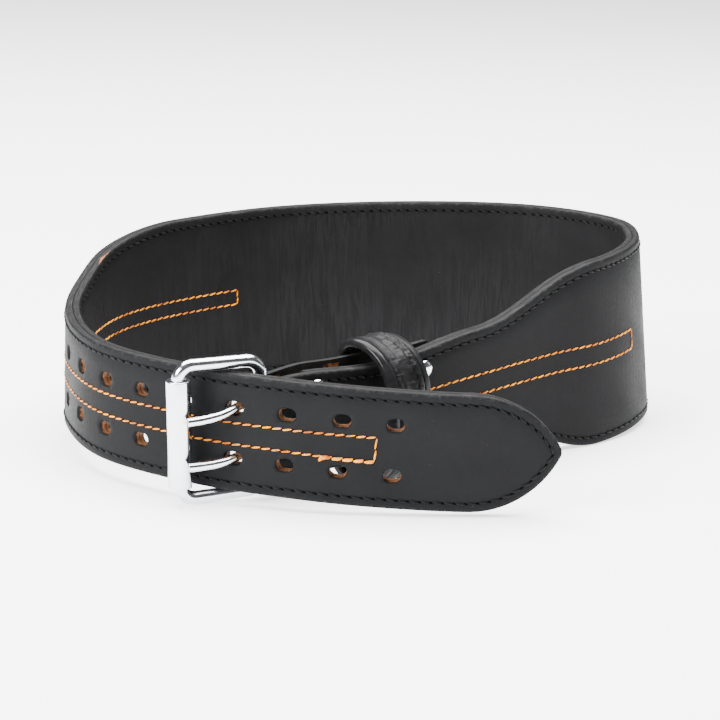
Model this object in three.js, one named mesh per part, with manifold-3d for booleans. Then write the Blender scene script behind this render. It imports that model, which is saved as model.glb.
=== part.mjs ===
// A wide-backed leather weightlifting belt, buckled into a loop and standing on its lower edge.
// Millimetres, +Z up, the buckle faces -Y. The belt is laid out level about its mid-height, then tipped
// forward on to the three points that it stands on.
import * as THREE from "three";
import { mergeVertices } from "three/addons/utils/BufferGeometryUtils.js";
import Module from "manifold-3d";

const wasm = await Module();
wasm.setup();

// Loop and leather
const loop_half_width = 155.5;
const loop_half_depth = 146;
const back_height = 101.6;
const front_height = 59;
const buckle_end_height = 51;
const fold_height = 50;
const ply = 3.85;
const seam_gap = 0.3;
const edge_bevel = 1.2;
const clearance = 0.35;

// Where the belt widens, measured from the buckle bar and back from the tongue's point
const buckle_strap_length = 130;
const buckle_taper_length = 85;
const tongue_strap_length = 283;
const tongue_taper_length = 165;
const tip_length = 46;
const tip_blunt = 1.6;

// Holes, in two rows
const hole_columns = 9;
const hole_pitch = 26;
const row_spacing = 25.4;
const hole_length = 9.5;
const hole_height = 7.5;
const tip_to_hole = 82;
const holes_past_prongs = 3;

// Buckle
const wire = 6.7;
const frame_length = 41.8;
const frame_lean_deg = 21;
const frame_side_room = 1.1;
const bar_side_room = 0.4;
const frame_corner = 7;
const roller_diameter = 12;
const roller_wall = 2;
const roller_length = 54.5;
const prong_wire = 4.6;
const prong_past_roller = 3.2;
const prong_notch = 1.1;
const prong_droop = 0.8;
const prong_reach = 8.3;
const eye_thickness = 4.4;

// Folded tab on the inside, and its rivets
const tab_length = 104;
const tab_height = 57;
const tab_bow = 5;
const inner_ply_start = 12;
const rivet_spacing = 35;
const rivet_from_bar = 27;
const rivet_from_tab_end = 11;
const rivet_head = 9.6;
const rivet_shank = 4;
const rivet_dome = 2.8;
const rivet_cap = 1.4;
const rivet_seat = 0.9;

// Keeper loop
const keeper_at = 69;
const keeper_width = 31;
const keeper_thickness = 5;
const keeper_front_room = 11;
const keeper_top_room = 4.2;
const keeper_back_room = 0.6;
const keeper_back_radius = 10;
const keeper_skew = 0.2;
const keeper_narrowing = 0.1;

// Lengths of one step along the belt, and sides of round things
const belt_step = 12;
const fold_steps = 8;
const tip_steps = 7;
const wire_sides = 10;
const roller_sides = 24;
const eye_sides = 20;
const rivet_sides = 12;
const rivet_hole_sides = 8;
const corner_steps = 4;
const prong_steps = 7;
const hole_sides = 3;
const face_camber = 0.04;

const strap_half = ply + seam_gap / 2;
const ply_middle = (ply + seam_gap) / 2;
const mid_height = back_height / 2;
const row = row_spacing / 2;
const bar_radius = wire / 2;
const Z = new THREE.Vector3(0, 0, 1);

// Middle line of a prong from the bar to the roller, as shares of that distance and of its height there
const prong_path = [
  { along: 0.3, height: 0.72 },
  { along: 0.7, height: 0.93 },
  { along: 1, height: 1 },
];

// Outer half of the keeper band's section, from its middle to its rim: across is a share of half the
// band's width, outside and inside are shares of half its thickness
const keeper_profile = [
  { across: 0, outside: 1, inside: 1 },
  { across: 0.6, outside: 0.9, inside: 0.8 },
  { across: 0.93, outside: 0.8, inside: 0.7 },
];

// Course of the belt from the buckle to the tongue's point, seen from above: x and y are shares of the
// loop's half width and half depth, drop is the sag of its middle line as a share of the front height,
// lean is how far its lower edge stands out for each millimetre down from the middle.
const course = [
  { x: -0.185, y: -0.779, drop: -0.035, lean: 0 },
  { x: 0.04, y: -0.63, drop: -0.075, lean: 0 },
  { x: 0.316, y: -0.42, drop: -0.02, lean: -0.02 },
  { x: 0.612, y: -0.164, drop: 0, lean: 0.035 },
  { x: 0.815, y: 0.014, drop: -0.015, lean: 0.067 },
  { x: 0.946, y: 0.22, drop: -0.02, lean: 0.088 },
  { x: 1, y: 0.445, drop: -0.025, lean: 0.075 },
  { x: 0.93, y: 0.685, drop: -0.01, lean: 0.02 },
  { x: 0.625, y: 0.918, drop: -0.02, lean: -0.03 },
  { x: 0.168, y: 1, drop: -0.035, lean: -0.05 },
  { x: -0.302, y: 0.925, drop: -0.04, lean: -0.05 },
  { x: -0.664, y: 0.685, drop: -0.025, lean: -0.03 },
  { x: -0.88, y: 0.418, drop: 0, lean: -0.01 },
  { x: -0.97, y: 0.171, drop: 0, lean: 0.02 },
  { x: -0.997, y: -0.185, drop: 0, lean: 0.045 },
  { x: -0.855, y: -0.575, drop: 0, lean: 0.07 },
  { x: -0.553, y: -0.843, drop: 0, lean: 0.055 },
  { x: -0.232, y: -0.972, drop: -0.028, lean: 0.035 },
  { x: 0.064, y: -1, drop: -0.088, lean: 0.03 },
  { x: 0.36, y: -0.993, drop: -0.135, lean: 0.01 },
  { x: 0.617, y: -0.952, drop: -0.15, lean: 0 },
];

// A belt course: points along it and what the belt does there, by length from its start
function layCourse(points, drops, leans) {
  const line = new THREE.CatmullRomCurve3(points, false, "catmullrom", 0.5);
  const traits = new THREE.CatmullRomCurve3(
    drops.map((drop, i) => new THREE.Vector3(drop, leans[i], 0)), false, "catmullrom", 0.5);
  line.arcLengthDivisions = 60 * points.length;
  const length = line.getLength();
  const at = (s) => {
    const t = line.getUtoTmapping(THREE.MathUtils.clamp(s / length, 0, 1));
    const tangent = line.getTangent(t).setZ(0).normalize();
    const trait = traits.getPoint(t);
    return {
      point: line.getPoint(t).setZ(mid_height + trait.x * front_height),
      tangent,
      normal: new THREE.Vector3(tangent.y, -tangent.x, 0),
      lean: trait.y,
    };
  };
  const slope = (s) => (at(s + 1).point.z - at(s - 1).point.z) / 2;
  return { length, at, slope };
}

const tablePoints = course.map((c) => new THREE.Vector3(c.x * loop_half_width, c.y * loop_half_depth, 0));
const drops = course.map((c) => c.drop);
const leans = course.map((c) => c.lean);

// The buckle hangs on the tongue: its bar lies behind the tongue beside the holes that the prongs use
const tongue = layCourse(tablePoints, drops, leans);
const prong_hole_from_tip = tip_to_hole + holes_past_prongs * hole_pitch;
const over_bar = tongue.at(tongue.length - prong_hole_from_tip + prong_reach);
const lean_room = Math.abs(over_bar.lean) * fold_height / 2;
const bar_depth = strap_half + ply + 2 * clearance + bar_radius + lean_room;
const bar = over_bar.point.clone().addScaledVector(over_bar.normal, -bar_depth).setZ(mid_height);
const lean_turn = THREE.MathUtils.degToRad(180 + frame_lean_deg);
const to_roller = new THREE.Vector3(Math.cos(lean_turn), Math.sin(lean_turn), 0);
const to_front = new THREE.Vector3(-to_roller.y, to_roller.x, 0);

// The strap leaves the bar along the line from its front side to the next point of the course
const bar_offset = bar_radius + clearance - seam_gap / 2;
const away = tablePoints[0].clone().sub(bar).setZ(0);
const swing = Math.asin(bar_offset / away.length());
const fold_tangent = away.clone().normalize().applyAxisAngle(Z, swing);
const fold_normal = new THREE.Vector3(fold_tangent.y, -fold_tangent.x, 0);
const fold_point = bar.clone().addScaledVector(fold_normal, bar_offset).setZ(0);
const belt = layCourse([fold_point, ...tablePoints], [drops[0], ...drops], [leans[0], ...leans]);

const smooth = THREE.MathUtils.smoothstep;

// Half the belt's height at a length from the bar, with the pointed end drawn by one arc on each side
function halfHeight(s) {
  const left = belt.length - s;
  const widened = smooth(s, buckle_strap_length, buckle_strap_length + buckle_taper_length)
    * smooth(left, tongue_strap_length, tongue_strap_length + tongue_taper_length);
  const narrowed = 1 - smooth(s, keeper_at, buckle_strap_length);
  const height = front_height + (back_height - front_height) * widened
    - (front_height - buckle_end_height) * narrowed
    - (buckle_end_height - fold_height) * (1 - smooth(s, 0, inner_ply_start));
  if (left >= tip_length) return height / 2;
  const half = front_height / 2;
  const radius = (tip_length ** 2 + half ** 2) / (2 * half);
  return Math.max(half - radius + Math.sqrt(radius ** 2 - (tip_length - left) ** 2), tip_blunt);
}

// One cross-section of the belt: x runs along it, y out of its face, z up it
function section(s, out = 0) {
  const { point, tangent, normal, lean } = belt.at(s);
  return {
    point: point.clone().addScaledVector(normal, out), tangent, normal, lean,
    slope: belt.slope(s), half: halfHeight(s),
  };
}

function place(sec, along, out, up) {
  return sec.point.clone()
    .addScaledVector(sec.normal, out - up * sec.lean)
    .addScaledVector(sec.tangent, along - up * sec.slope)
    .addScaledVector(Z, up);
}

// Solids: merged closed meshes, turned face-out
function solid(geometry) {
  const bare = geometry.clone();
  bare.deleteAttribute("normal");
  bare.deleteAttribute("uv");
  const merged = mergeVertices(bare, 1e-4);
  const positions = merged.attributes.position;
  const index = merged.index.array;
  const a = new THREE.Vector3(), b = new THREE.Vector3(), c = new THREE.Vector3();
  let volume = 0;
  for (let i = 0; i < index.length; i += 3) {
    a.fromBufferAttribute(positions, index[i]);
    b.fromBufferAttribute(positions, index[i + 1]);
    c.fromBufferAttribute(positions, index[i + 2]);
    volume += a.dot(b.cross(c));
  }
  const triVerts = new Uint32Array(index.length);
  for (let i = 0; i < index.length; i += 3) {
    triVerts[i] = index[i];
    triVerts[i + 1] = volume > 0 ? index[i + 1] : index[i + 2];
    triVerts[i + 2] = volume > 0 ? index[i + 2] : index[i + 1];
  }
  const vertProperties = new Float32Array(positions.array);
  return new wasm.Manifold(new wasm.Mesh({ numProp: 3, vertProperties, triVerts }));
}

function toGeometry(manifold) {
  const mesh = manifold.getMesh();
  const geometry = new THREE.BufferGeometry();
  geometry.setAttribute("position", new THREE.BufferAttribute(mesh.vertProperties, 3));
  geometry.setIndex(new THREE.BufferAttribute(mesh.triVerts, 1));
  geometry.computeVertexNormals();
  return geometry;
}

function reshape(geometry, move) {
  const positions = geometry.attributes.position;
  const v = new THREE.Vector3();
  for (let i = 0; i < positions.count; i++) {
    v.fromBufferAttribute(positions, i);
    const moved = move(v);
    positions.setXYZ(i, moved.x, moved.y, moved.z);
  }
  return geometry;
}

// One ply swept through its cross-sections: a straight extrusion whose steps are moved to the sections.
// In the profile, x is out of the face and y = 1 or -1 is the cut edge, y = 0.5 or -0.5 the bevel's foot.
function sweepPly(sections, grain_side) {
  const face = ply / 2 * grain_side;
  const profile = new THREE.Shape([
    new THREE.Vector2(-face, -1), new THREE.Vector2(face - edge_bevel * grain_side, -1),
    new THREE.Vector2(face, -0.5), new THREE.Vector2(face + face_camber, 0), new THREE.Vector2(face, 0.5),
    new THREE.Vector2(face - edge_bevel * grain_side, 1), new THREE.Vector2(-face, 1),
    new THREE.Vector2(-face + face_camber, 0),
  ]);
  const steps = sections.length - 1;
  const straight = new THREE.ExtrudeGeometry(profile, { depth: steps, steps, bevelEnabled: false });
  return solid(reshape(straight, (v) => {
    const sec = sections[Math.round(v.z)];
    const up = Math.sign(v.y) * (sec.half - 2 * edge_bevel * (1 - Math.abs(v.y)));
    return place(sec, 0, v.x, up);
  }));
}

// Lengths along the belt at which it has a cross-section, closer together at the pointed end
function beltStops() {
  const stops = [];
  const last = belt.length - tip_length;
  const count = Math.ceil(last / belt_step);
  for (let i = 0; i < count; i++) stops.push(last * i / count);
  for (let i = 0; i <= tip_steps; i++) stops.push(last + tip_length * Math.sin(i / tip_steps * Math.PI / 2));
  return stops;
}

// The outer ply starts as the tab on the inside, goes round the bar and runs on as the belt's face
const tab_clamped = strap_half + clearance + ply / 2;
const tab_at_bar = bar_offset + bar_radius + clearance + ply / 2;
const rivet_near_end = tab_length - rivet_from_tab_end;

function tabOffset(s) {
  const eased = (tab_at_bar - tab_clamped) * (1 - smooth(s, 0, rivet_from_bar));
  const share = THREE.MathUtils.clamp((s - rivet_from_bar) / (rivet_near_end - rivet_from_bar), 0, 1);
  return tab_clamped + eased + tab_bow * Math.sin(Math.PI * share) ** 2;
}

function tabSection(s) {
  const sec = section(s, -tabOffset(s));
  const widened = smooth(s, 0, rivet_from_bar);
  return {
    point: sec.point, tangent: sec.tangent.negate(), normal: sec.normal.negate(),
    lean: -sec.lean, slope: 0, half: (fold_height + (tab_height - fold_height) * widened) / 2,
  };
}

function foldSection(share) {
  const turned = Math.PI * (1 - share);
  const normal = fold_normal.clone().applyAxisAngle(Z, -turned);
  const tangent = fold_tangent.clone().applyAxisAngle(Z, -turned);
  const radius = bar_radius + clearance + ply / 2;
  const drop = drops[0] * front_height;
  const point = bar.clone().addScaledVector(normal, radius).setZ(mid_height + drop);
  return { point, tangent, normal, lean: 0, slope: 0, half: fold_height / 2 };
}

const tab_steps = Math.ceil(tab_length / belt_step);
const outer_sections = [];
for (let i = 0; i < tab_steps; i++) outer_sections.push(tabSection(tab_length * (1 - i / tab_steps)));
for (let i = 0; i < fold_steps; i++) outer_sections.push(foldSection(i / fold_steps));
const belt_stops = beltStops();
const inner_stops = belt_stops.filter((s) => s >= inner_ply_start);
for (const s of belt_stops) outer_sections.push(section(s, ply_middle));
const inner_sections = inner_stops.map((s) => section(s, -ply_middle));

// A frame at a place on the belt's face, for what is cut through it or fastened to it
function faceMatrix(s, up) {
  const sec = section(s);
  const height = Z.clone().addScaledVector(sec.normal, -sec.lean).addScaledVector(sec.tangent, -sec.slope);
  const out = new THREE.Vector3().crossVectors(height, sec.tangent).normalize().negate();
  const across = new THREE.Vector3().crossVectors(out, height.normalize()).normalize();
  return new THREE.Matrix4().makeBasis(across, height, out).setPosition(place(sec, 0, 0, up));
}

function oblongHole() {
  const shape = new THREE.Shape();
  const straight = (hole_length - hole_height) / 2;
  shape.absarc(straight, 0, hole_height / 2, -Math.PI / 2, Math.PI / 2, false);
  shape.absarc(-straight, 0, hole_height / 2, Math.PI / 2, Math.PI * 1.5, false);
  const depth = 4 * strap_half;
  return new THREE.ExtrudeGeometry(shape, { depth, curveSegments: hole_sides, bevelEnabled: false })
    .translate(0, 0, -depth / 2);
}

const hole_cutters = [];
for (let column = 0; column < hole_columns; column++) {
  const s = belt.length - tip_to_hole - column * hole_pitch;
  for (const side of [-1, 1]) {
    hole_cutters.push(solid(oblongHole().applyMatrix4(faceMatrix(s, side * row))));
  }
}

// Buckle frame: a wire ring drawn out to a rounded rectangle, in a plane from the bar to the roller
const frame_half = front_height / 2 + frame_side_room + bar_radius;
const bar_half = frame_half - frame_side_room + bar_side_room;

function roundedLoop(half_length, half_height, far_radius, near_radius) {
  const stops = [];
  for (let corner = 0; corner < 4; corner++) {
    const sx = corner === 0 || corner === 3 ? 1 : -1;
    const sy = corner < 2 ? 1 : -1;
    const radius = sx > 0 ? far_radius : near_radius;
    for (let i = 0; i <= corner_steps; i++) {
      const angle = (corner + i / corner_steps) * Math.PI / 2;
      const out = new THREE.Vector2(Math.cos(angle), Math.sin(angle));
      const x = sx * (half_length - radius) + radius * out.x;
      const y = sy * (half_height - radius) + radius * out.y;
      stops.push({ x, y, out });
    }
  }
  return stops;
}

// A ring of a closed section, moved on to the stops of a loop: r is out of the loop, y across it
function ringOn(stops, outline, move) {
  const ring_radius = 100;
  const closed = [...outline, outline[0]].map(([r, y]) => new THREE.Vector2(ring_radius + r, y));
  const ring = new THREE.LatheGeometry(closed, stops.length);
  return solid(reshape(ring, (v) => {
    const turn = (Math.atan2(v.x, v.z) / (2 * Math.PI) + 1) % 1;
    const stop = stops[Math.round(turn * stops.length) % stops.length];
    return move(stop, Math.hypot(v.x, v.z) - ring_radius, v.y);
  }));
}

const round = (radius, sides) => Array.from({ length: sides }, (_, i) => {
  const angle = i / sides * 2 * Math.PI;
  return [radius * Math.cos(angle), radius * Math.sin(angle)];
});

// A ring turned about the height, from a closed outline of radius and height
function turned(outline, sides) {
  const closed = [...outline, outline[0]].map(([r, y]) => new THREE.Vector2(r, y));
  return new THREE.LatheGeometry(closed, sides).rotateX(Math.PI / 2);
}

function inFrame(along, front, up) {
  return bar.clone().addScaledVector(to_roller, along).addScaledVector(to_front, front)
    .addScaledVector(Z, up);
}

const frame_stops = roundedLoop(frame_length / 2, frame_half, frame_corner, frame_corner);

// The frame is a little lower at the bar than at the roller
function squeezed(along, up) {
  const share = THREE.MathUtils.clamp(along / frame_length, 0, 1);
  return up * (bar_half + (frame_half - bar_half) * share) / frame_half;
}

const frame_solid = ringOn(frame_stops, round(bar_radius, wire_sides), (stop, r, y) => {
  const along = stop.x + r * stop.out.x + frame_length / 2;
  return inFrame(along, y, squeezed(along, stop.y) + r * stop.out.y);
});

// Roller: a tube that turns on the front wire
const roller_at = inFrame(frame_length, 0, 0);
const tube = [
  [roller_diameter / 2 - roller_wall, -roller_length / 2], [roller_diameter / 2, -roller_length / 2],
  [roller_diameter / 2, roller_length / 2], [roller_diameter / 2 - roller_wall, roller_length / 2],
];
const roller_shape = turned(tube, roller_sides).translate(roller_at.x, roller_at.y, roller_at.z);

// Prongs: an eye round the bar and a bent wire that lies in a notch of the roller
const prong_line_height = roller_diameter / 2 + prong_wire / 2 - prong_notch;
const eye_radius = bar_radius + clearance + (strap_half - seam_gap);

function prongWire(radius, up) {
  const points = [
    inFrame(0, bar_radius + clearance + prong_wire / 2, up),
    ...prong_path.map(({ along, height }) => inFrame(frame_length * along, prong_line_height * height, up)),
    inFrame(frame_length + prong_past_roller, prong_line_height - prong_droop, up),
  ];
  const shape = new THREE.Shape(round(radius, wire_sides).map(([x, y]) => new THREE.Vector2(x, y)));
  const extrudePath = new THREE.CatmullRomCurve3(points);
  const shank = new THREE.ExtrudeGeometry(shape, { steps: prong_steps, bevelEnabled: false, extrudePath });
  const end = points[points.length - 1];
  const tip = new THREE.SphereGeometry(radius, wire_sides, wire_sides / 2).translate(end.x, end.y, end.z);
  return solid(shank).add(solid(tip));
}

function prongEye(up) {
  const half = eye_thickness / 2;
  const bore = bar_radius + clearance;
  const eye = turned([[bore, -half], [eye_radius, -half], [eye_radius, half], [bore, half]], eye_sides);
  return solid(eye.translate(bar.x, bar.y, bar.z + up));
}

// Slots in the fold, through which the prongs reach the bar
function foldSlot(up) {
  const width = prong_wire + 4 * clearance;
  const reach = eye_radius + 2 * clearance;
  const box = new THREE.BoxGeometry(2 * reach, 2 * reach + ply, width);
  box.rotateZ(Math.atan2(fold_tangent.y, fold_tangent.x)).translate(bar.x, bar.y, bar.z + up);
  return solid(box);
}

const prong_paths = [-row, row].map((up) => prongWire(prong_wire / 2 + clearance, up));
const slots = [-row, row].map(foldSlot);

// Rivets through the strap and the tab, turned about the belt's normal
function rivetAt(s, up) {
  const outer = strap_half + clearance;
  const inner = -(tabOffset(s) + ply / 2 + rivet_seat);
  const shank = rivet_shank / 2;
  const radius = rivet_head / 2;
  const cap_bevel = rivet_cap / 2;
  const cap = inner - rivet_cap;
  const profile = [[0, cap], [radius - cap_bevel, cap], [radius, cap + cap_bevel],
    [radius, inner], [shank, inner], [shank, outer], [radius, outer]];
  for (const share of [0.3, 0.6, 0.9]) {
    const angle = share * Math.PI / 2;
    profile.push([radius * Math.cos(angle), outer + rivet_dome * Math.sin(angle)]);
  }
  profile.push([0, outer + rivet_dome]);
  const lathe = new THREE.LatheGeometry(profile.map(([r, y]) => new THREE.Vector2(r, y)), rivet_sides);
  return solid(lathe.rotateX(Math.PI / 2).applyMatrix4(faceMatrix(s, up)));
}

function rivetHole(s, up) {
  const depth = 8 * strap_half;
  const radius = rivet_shank / 2 + 2 * clearance;
  const cutter = new THREE.CylinderGeometry(radius, radius, depth, rivet_hole_sides);
  return solid(cutter.rotateX(Math.PI / 2).applyMatrix4(faceMatrix(s, up)));
}

const rivet_up = rivet_spacing / 2;
const rivet_places = [
  { name: "rivet_buckle_upper", s: rivet_from_bar, up: rivet_up },
  { name: "rivet_buckle_lower", s: rivet_from_bar, up: -rivet_up },
  { name: "rivet_keeper_upper", s: rivet_near_end, up: rivet_up },
  { name: "rivet_keeper_lower", s: rivet_near_end, up: -rivet_up },
];
const rivet_holes = rivet_places.map(({ s, up }) => rivetHole(s, up));

// Keeper: a padded band round the strap and tab, with room for a tongue in front
const keeper_back = -(tab_clamped + ply / 2 + tab_bow + keeper_back_room + keeper_thickness / 2);
const keeper_front = strap_half + keeper_front_room + keeper_thickness / 2;
const keeper_half_depth = (keeper_front - keeper_back) / 2;
const keeper_middle = (keeper_front + keeper_back) / 2;
const keeper_half_height = tab_height / 2 + keeper_top_room + keeper_thickness / 2;

// The band's section: two faces that bulge over their padding and round rims
function keeperOutline() {
  const half = keeper_width / 2;
  const t = keeper_thickness / 2;
  const outside = keeper_profile.map((row) => [t * row.outside, half * row.across]);
  const inside = keeper_profile.map((row) => [-t * row.inside, half * row.across]).reverse();
  const upper = [...outside, [0, half], ...inside];
  const lower = upper.slice(1, -1).map(([r, y]) => [r, -y]).reverse();
  return [...upper, ...lower];
}

const keeper_section = section(keeper_at);
keeper_section.slope = 0;
const keeper_side_flat = 1;
const keeper_front_radius = 2 * keeper_half_depth - keeper_back_radius - keeper_side_flat;
const keeper_stops = roundedLoop(
  keeper_half_depth, keeper_half_height, keeper_front_radius, keeper_back_radius);
const keeper_solid = ringOn(keeper_stops, keeperOutline(), (stop, r, y) => {
  const out = stop.x + r * stop.out.x;
  const share = out / keeper_half_depth;
  const along = y * (1 - keeper_narrowing * share) + keeper_skew * out;
  return place(keeper_section, along, keeper_middle + out, stop.y + r * stop.out.y);
});

// Cut and join
const join = (solids) => solids.reduce((sum, next) => sum.add(next));
const shared_cuts = join([...hole_cutters, ...prong_paths, ...rivet_holes]);
const outer_solid = sweepPly(outer_sections, 1).subtract(shared_cuts.add(join(slots)));
const inner_solid = sweepPly(inner_sections, -1).subtract(shared_cuts);
const roller_solid = solid(roller_shape).subtract(join(prong_paths));
const prongSolid = (up) => prongWire(prong_wire / 2, up).add(prongEye(up));

const leather = { roughness: 0.55, metalness: 0 };
const chrome = { color: 0xd4d7da, roughness: 0.12, metalness: 1 };
const pieces = [
  { name: "outer_ply", shape: outer_solid, look: { color: 0x1f2022, ...leather } },
  { name: "inner_ply", shape: inner_solid, look: { color: 0x232426, ...leather } },
  { name: "buckle_frame", shape: frame_solid, look: chrome },
  { name: "roller", shape: roller_solid, look: chrome },
  { name: "prong_upper", shape: prongSolid(row), look: chrome },
  { name: "prong_lower", shape: prongSolid(-row), look: chrome },
  { name: "keeper_loop", shape: keeper_solid, look: { color: 0x18191a, ...leather } },
  ...rivet_places.map(({ name, s, up }) => ({ name, shape: rivetAt(s, up), look: chrome })),
];

// The plane that the belt stands on: of all planes through three of its low points with none below,
// the one whose three points stand round the middle of the loop
function standingPlane(points) {
  const inside = (a, b, c) => {
    const side = (p, q) => p.x * (q.y - p.y) - p.y * (q.x - p.x);
    const turns = [side(a, b), side(b, c), side(c, a)];
    return turns.every((turn) => turn > 0) || turns.every((turn) => turn < 0);
  };
  for (const [i, a] of points.entries()) {
    for (const [j, b] of points.slice(0, i).entries()) {
      for (const c of points.slice(0, j)) {
        if (!inside(a, b, c)) continue;
        const plane = new THREE.Plane().setFromCoplanarPoints(a, b, c);
        if (plane.normal.z < 0) plane.negate();
        if (points.every((p) => plane.distanceToPoint(p) > -1e-6)) return plane;
      }
    }
  }
  throw new Error("the belt has no three points to stand on");
}

const ply_foot = ply / 2 - edge_bevel;
const low_points = [
  ...outer_sections.slice(tab_steps + fold_steps).map((sec) => place(sec, 0, ply_foot, -sec.half)),
  ...inner_sections.map((sec) => place(sec, 0, -ply_foot, -sec.half)),
  ...frame_stops.filter((stop) => stop.y < 0).map((stop) => inFrame(
    stop.x + frame_length / 2, 0, squeezed(stop.x + frame_length / 2, stop.y) + bar_radius * stop.out.y)),
];
const ground = standingPlane(low_points);

const group = new THREE.Group();
for (const { name, shape, look } of pieces) {
  const mesh = new THREE.Mesh(toGeometry(shape), new THREE.MeshStandardMaterial(look));
  mesh.name = name;
  group.add(mesh);
}
group.quaternion.setFromUnitVectors(ground.normal, Z);
group.updateMatrixWorld(true);
const box = new THREE.Box3().setFromObject(group, true);
group.position.set(-(box.min.x + box.max.x) / 2, -(box.min.y + box.max.y) / 2, -box.min.z);
group.updateMatrixWorld(true);

export default group;
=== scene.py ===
import bpy
import math
from mathutils import Matrix, Quaternion, Vector, noise


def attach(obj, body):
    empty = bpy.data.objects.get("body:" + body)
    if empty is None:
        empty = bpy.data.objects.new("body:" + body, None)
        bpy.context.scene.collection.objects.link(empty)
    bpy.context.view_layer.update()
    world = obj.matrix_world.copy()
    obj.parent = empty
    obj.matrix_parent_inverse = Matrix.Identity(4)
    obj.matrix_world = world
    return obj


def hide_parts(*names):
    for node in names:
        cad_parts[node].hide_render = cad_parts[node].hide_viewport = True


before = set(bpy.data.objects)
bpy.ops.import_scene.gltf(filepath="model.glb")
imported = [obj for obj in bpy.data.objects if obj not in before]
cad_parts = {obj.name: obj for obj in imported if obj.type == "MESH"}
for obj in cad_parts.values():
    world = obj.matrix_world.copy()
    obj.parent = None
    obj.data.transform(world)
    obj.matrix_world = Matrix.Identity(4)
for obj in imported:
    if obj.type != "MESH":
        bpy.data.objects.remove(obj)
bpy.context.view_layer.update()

# The way the belt stands.
# A buckled belt rests on three spots of its lower edge, tipped a little towards its buckle, so all of it
# is made level and then tipped and moved as one.
stands_turned = Quaternion((0.9993368, 0.0340758, -0.0128361, 0))
stands_moved = Vector((-0.000752, 0.003496, -0.00212))
stands = Matrix.Translation(stands_moved) @ stands_turned.to_matrix().to_4x4()

# Camera.
# It stands a little above the belt, square to its back, as in the photograph.
picture_width = 720
focal_pixels = 2233.5
view_distance = 1.2
view_down = math.radians(17)
view_centre = Vector((-0.002, -0.015, 0.05))
ahead = Vector((0, math.cos(view_down), -math.sin(view_down)))
above = Vector((0, math.sin(view_down), math.cos(view_down)))
eye = view_centre - ahead * view_distance
camera_data = bpy.data.cameras.new("camera")
camera_data.sensor_width = 36
camera_data.lens = camera_data.sensor_width * focal_pixels / picture_width
camera = bpy.data.objects.new("camera", camera_data)
bpy.context.collection.objects.link(camera)
looks = Matrix((Vector((1, 0, 0)), above, -ahead)).transposed().to_4x4()
camera.matrix_world = stands @ Matrix.Translation(eye) @ looks
bpy.context.scene.camera = camera

# Studio.
# A wide white floor that glows, a large soft light on the left in front, a weak one on the right and a wide
# one overhead give the leather its broad dull shine and the chrome its bright and dark bands.
floor_size = 14
floor_glow = 1.5
room_glow = 0.13
white = (1, 1, 1, 1)


def node(material, kind, inputs=(), **settings):
    made = material.node_tree.nodes.new("ShaderNode" + kind)
    for key, value in settings.items():
        setattr(made, key, value)
    for key, value in dict(inputs).items():
        if isinstance(value, bpy.types.NodeSocket):
            material.node_tree.links.new(value, made.inputs[key])
        else:
            made.inputs[key].default_value = value
    return made


def plug(material, **inputs):
    surface = material.node_tree.nodes["Principled BSDF"]
    for key, value in inputs.items():
        socket = surface.inputs[key.replace("_", " ")]
        if isinstance(value, bpy.types.NodeSocket):
            material.node_tree.links.new(value, socket)
        else:
            socket.default_value = value


def new_material(name, **inputs):
    material = bpy.data.materials.new(name)
    material.use_nodes = True
    plug(material, **inputs)
    return material


bpy.ops.object.select_all(action="DESELECT")
bpy.ops.mesh.primitive_plane_add(size=floor_size)
floor = bpy.context.object
floor.name = "floor"
floor_paper = new_material("floor_paper", Base_Color=(0.96, 0.96, 0.96, 1), Roughness=0.9,
                           Emission_Color=white, Emission_Strength=floor_glow)
floor.data.materials.append(floor_paper)


def soft_light(name, spot, aim, size, power):
    light = bpy.data.lights.new(name, "AREA")
    light.shape = "RECTANGLE"
    light.size, light.size_y = size
    light.energy = power
    lamp = bpy.data.objects.new(name, light)
    lamp.location = spot
    lamp.rotation_euler = (Vector(aim) - Vector(spot)).to_track_quat("-Z", "Y").to_euler()
    bpy.context.collection.objects.link(lamp)


soft_light("light_front", (-2.1, -1.7, 1.4), (0, -0.1, 0.05), (1.5, 1.1), 225)
soft_light("light_right", (2, 0.3, 1), (0.05, 0, 0.04), (0.7, 0.9), 1.5)
soft_light("light_top", (0, 0.2, 2.4), (0, 0, 0), (3, 2.4), 400)
world = bpy.data.worlds.new("studio")
world.use_nodes = True
world.node_tree.nodes["Background"].inputs["Color"].default_value = white
world.node_tree.nodes["Background"].inputs["Strength"].default_value = room_glow
bpy.context.scene.world = world

# Course of the belt.
# A lifting belt is two straight straps of leather glued face to face, so every piece of it is laid flat
# here (x along the belt from the buckle bar, y up it, z out of its face) and then bent round the waist.
loop_half_width = 0.1555
loop_half_depth = 0.146
mid_height = 0.0508
front_height = 0.059
strap_leaves_bar = Vector((-0.048372, -0.127496, 0.048735))

# Shares of the half width and half depth, sag as a share of the front height, and lean of the wall
course_rows = [
    (-0.185, -0.779, -0.035, 0), (0.04, -0.63, -0.075, 0), (0.316, -0.42, -0.02, -0.02),
    (0.612, -0.164, 0, 0.035), (0.815, 0.014, -0.015, 0.067), (0.946, 0.22, -0.02, 0.088),
    (1, 0.445, -0.025, 0.075), (0.93, 0.685, -0.01, 0.02), (0.625, 0.918, -0.02, -0.03),
    (0.168, 1, -0.035, -0.05), (-0.302, 0.925, -0.04, -0.05), (-0.664, 0.685, -0.025, -0.03),
    (-0.88, 0.418, 0, -0.01), (-0.97, 0.171, 0, 0.02), (-0.997, -0.185, 0, 0.045), (-0.855, -0.575, 0, 0.07),
    (-0.553, -0.843, 0, 0.055), (-0.232, -0.972, -0.028, 0.035), (0.064, -1, -0.088, 0.03),
    (0.36, -0.993, -0.135, 0.01), (0.617, -0.952, -0.15, 0),
]


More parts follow.
